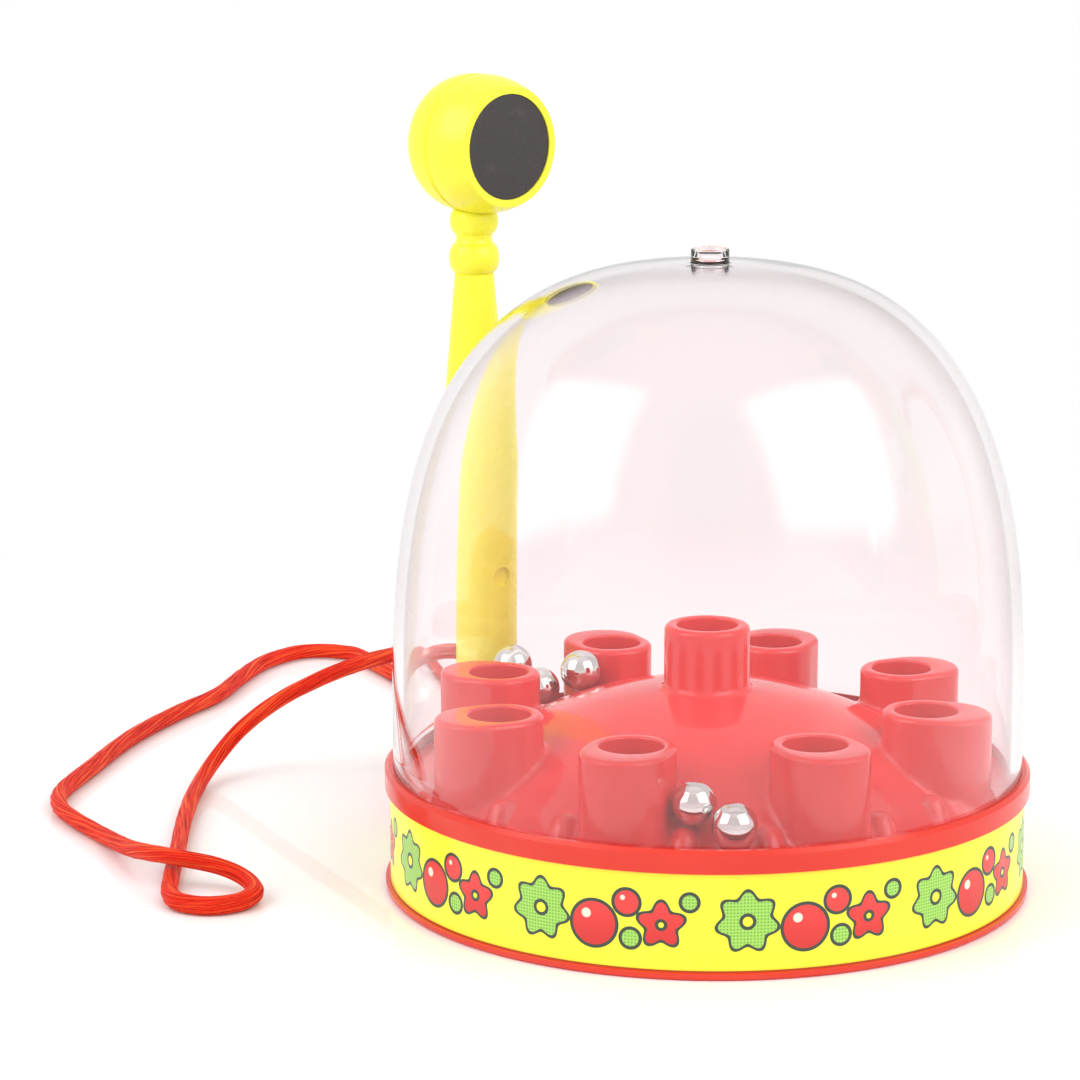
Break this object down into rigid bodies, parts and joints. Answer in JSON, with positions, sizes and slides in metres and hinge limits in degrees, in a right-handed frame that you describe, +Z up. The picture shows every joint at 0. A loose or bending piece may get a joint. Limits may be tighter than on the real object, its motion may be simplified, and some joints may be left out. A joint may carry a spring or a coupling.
{
  "type": "magnetic ball-drop dome game",
  "caption": "Round tabletop skill game: cups round a mound under a clear dome, loose steel balls, and a magnet hammer parked in a rear socket on a tether cord.",
  "frame": {"origin": "middle of the base's underside, on the base's axis", "axes": "+Z up; the side seen in the picture faces -Y; the hammer's socket is at the back left"},
  "size_m": [0.1917, 0.2317, 0.1464],
  "materials": {
    "red_plastic": "glossy red moulded plastic",
    "deck_plastic": "glossy red moulded plastic",
    "clear_plastic": "clear moulded plastic with a glossy surface",
    "label": "yellow printed label, glossy, with outlined red and green rounded shapes",
    "zinc_steel": "zinc-plated screws",
    "ball_steel": "polished bearing steel",
    "yellow_plastic": "glossy yellow moulded plastic",
    "ferrite": "dark grey matt ferrite",
    "cord": "red twisted synthetic cord"
  },
  "bodies": {
    "base": {"base_shell": "red_plastic", "play_deck": "deck_plastic", "dome": "clear_plastic", "label_band": "label", "deck_screws": "zinc_steel", "tether_cord": "cord"},
    "hammer": {"hammer_handle": "yellow_plastic", "head_front": "yellow_plastic", "head_rear": "yellow_plastic", "head_magnet": "ferrite", "cord_end": "cord"},
    "ball_1_body": {"ball_1": "ball_steel"},
    "ball_2_body": {"ball_2": "ball_steel"},
    "ball_3_body": {"ball_3": "ball_steel"},
    "ball_4_body": {"ball_4": "ball_steel"},
    "ball_5_body": {"ball_5": "ball_steel"},
    "ball_6_body": {"ball_6": "ball_steel"}
  },
  "joints": [
    {"name": "hammer_lift", "type": "slide", "parent": "base", "child": "hammer", "axis": [0, 0, 1], "range_m": [0, 0.03]},
    {"name": "ball_1_lift", "type": "slide", "parent": "base", "child": "ball_1_body", "axis": [0, 0, 1], "range_m": [0, 0.03]},
    {"name": "ball_2_lift", "type": "slide", "parent": "base", "child": "ball_2_body", "axis": [0, 0, 1], "range_m": [0, 0.03]},
    {"name": "ball_3_lift", "type": "slide", "parent": "base", "child": "ball_3_body", "axis": [0, 0, 1], "range_m": [0, 0.012]},
    {"name": "ball_4_lift", "type": "slide", "parent": "base", "child": "ball_4_body", "axis": [0, 0, 1], "range_m": [0, 0.03]},
    {"name": "ball_5_lift", "type": "slide", "parent": "base", "child": "ball_5_body", "axis": [0, 0, 1], "range_m": [0, 0.03]},
    {"name": "ball_6_lift", "type": "slide", "parent": "base", "child": "ball_6_body", "axis": [0, 0, 1], "range_m": [0, 0.012]}
  ],
  "couplings": [
    {"joint": "ball_3_lift", "follows": "ball_6_lift", "ratio": 1}
  ]
}
